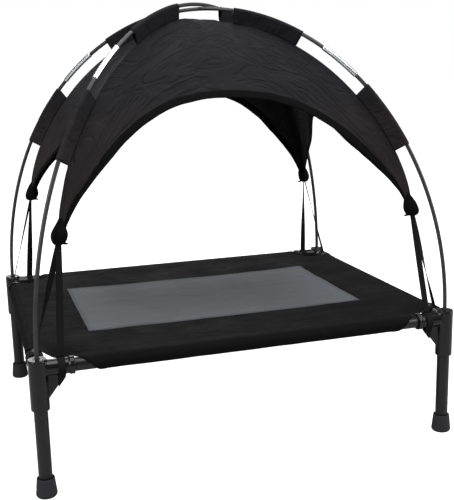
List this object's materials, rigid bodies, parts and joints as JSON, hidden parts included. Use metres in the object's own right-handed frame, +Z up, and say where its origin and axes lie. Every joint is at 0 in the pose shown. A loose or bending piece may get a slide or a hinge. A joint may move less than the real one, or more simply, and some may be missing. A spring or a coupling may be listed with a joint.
{
  "type": "raised dog cot with sun canopy",
  "caption": "Raised rectangular dog cot: tube frame on legs, stretched fabric bed with a mesh panel, and a crossed-pole arched sun canopy with elastic straps.",
  "frame": {"origin": "on the floor, at the middle of the rectangle of the four feet", "axes": "+Z up; +X along the long side, to the right of someone facing the front; -Y is the front, +Y the back"},
  "size_m": [0.765, 0.615, 0.794],
  "materials": {
    "moulded_black": "glossy",
    "tube_paint": "satin",
    "rubber_feet": "matte",
    "fibreglass_rod": "satin",
    "bright_ferrule": "satin",
    "canopy_fabric": "thin plain weave",
    "edge_binding": "woven tape",
    "cover_fabric": "coarse plain weave",
    "grey_mesh": "fine open weave",
    "elastic_strap": "ribbed elastic",
    "shock_cord": "braided"
  },
  "bodies": {
    "bed_frame": {"connector_front_left": "moulded_black", "connector_front_right": "moulded_black", "connector_back_right": "moulded_black", "connector_back_left": "moulded_black", "pole_socket_front_left": "moulded_black", "pole_socket_front_right": "moulded_black", "pole_socket_back_right": "moulded_black", "pole_socket_back_left": "moulded_black", "rail_front": "tube_paint", "rail_back": "tube_paint", "rail_left": "tube_paint", "rail_right": "tube_paint", "bed_cover": "cover_fabric", "mesh_panel": "grey_mesh"},
    "canopy": {"upper_pole_rod_front_left": "fibreglass_rod", "upper_pole_rod_middle": "fibreglass_rod", "upper_pole_rod_back_right": "fibreglass_rod", "upper_pole_shock_cord": "shock_cord", "lower_pole_rod_back_left": "fibreglass_rod", "lower_pole_rod_middle": "fibreglass_rod", "lower_pole_rod_front_right": "fibreglass_rod", "lower_pole_shock_cord": "shock_cord", "ferrule_front_left": "bright_ferrule", "ferrule_front_right": "bright_ferrule", "ferrule_back_right": "bright_ferrule", "ferrule_back_left": "bright_ferrule", "pole_sleeve_high_front_left": "canopy_fabric", "pole_sleeve_high_front_right": "canopy_fabric", "pole_sleeve_high_back_right": "canopy_fabric", "pole_sleeve_high_back_left": "canopy_fabric", "pole_sleeve_low_front_left": "canopy_fabric", "pole_sleeve_low_front_right": "canopy_fabric", "pole_sleeve_low_back_right": "canopy_fabric", "pole_sleeve_low_back_left": "canopy_fabric", "canopy_panel_front_right": "canopy_fabric", "canopy_panel_back_left": "canopy_fabric", "arch_binding_front": "edge_binding", "arch_binding_right": "edge_binding", "arch_binding_back": "edge_binding", "arch_binding_left": "edge_binding", "arm_knot_front_left": "edge_binding", "arm_knot_front_right": "edge_binding", "arm_knot_back_right": "edge_binding", "arm_knot_back_left": "edge_binding", "strap_long_rail_front_left": "elastic_strap", "strap_short_rail_front_left": "elastic_strap", "strap_long_rail_front_right": "elastic_strap", "strap_short_rail_front_right": "elastic_strap", "strap_long_rail_back_right": "elastic_strap", "strap_short_rail_back_right": "elastic_strap", "strap_long_rail_back_left": "elastic_strap", "strap_short_rail_back_left": "elastic_strap"},
    "leg_front_left": {"leg_tube_front_left": "tube_paint", "foot_front_left": "rubber_feet"},
    "leg_front_right": {"leg_tube_front_right": "tube_paint", "foot_front_right": "rubber_feet"},
    "leg_back_right": {"leg_tube_back_right": "tube_paint", "foot_back_right": "rubber_feet"},
    "leg_back_left": {"leg_tube_back_left": "tube_paint", "foot_back_left": "rubber_feet"}
  },
  "joints": [
    {"name": "canopy_lift", "type": "slide", "parent": "bed_frame", "child": "canopy", "axis": [0, 0, 1], "range_m": [0, 0.04], "deforming": ["strap_long_rail_front_left", "strap_short_rail_front_left", "strap_long_rail_front_right", "strap_short_rail_front_right", "strap_long_rail_back_right", "strap_short_rail_back_right", "strap_long_rail_back_left", "strap_short_rail_back_left"]},
    {"name": "leg_front_left_pull", "type": "slide", "parent": "bed_frame", "child": "leg_front_left", "axis": [0, 0, -1], "range_m": [0, 0.06]},
    {"name": "leg_front_right_pull", "type": "slide", "parent": "bed_frame", "child": "leg_front_right", "axis": [0, 0, -1], "range_m": [0, 0.06]},
    {"name": "leg_back_right_pull", "type": "slide", "parent": "bed_frame", "child": "leg_back_right", "axis": [0, 0, -1], "range_m": [0, 0.06]},
    {"name": "leg_back_left_pull", "type": "slide", "parent": "bed_frame", "child": "leg_back_left", "axis": [0, 0, -1], "range_m": [0, 0.06]}
  ]
}
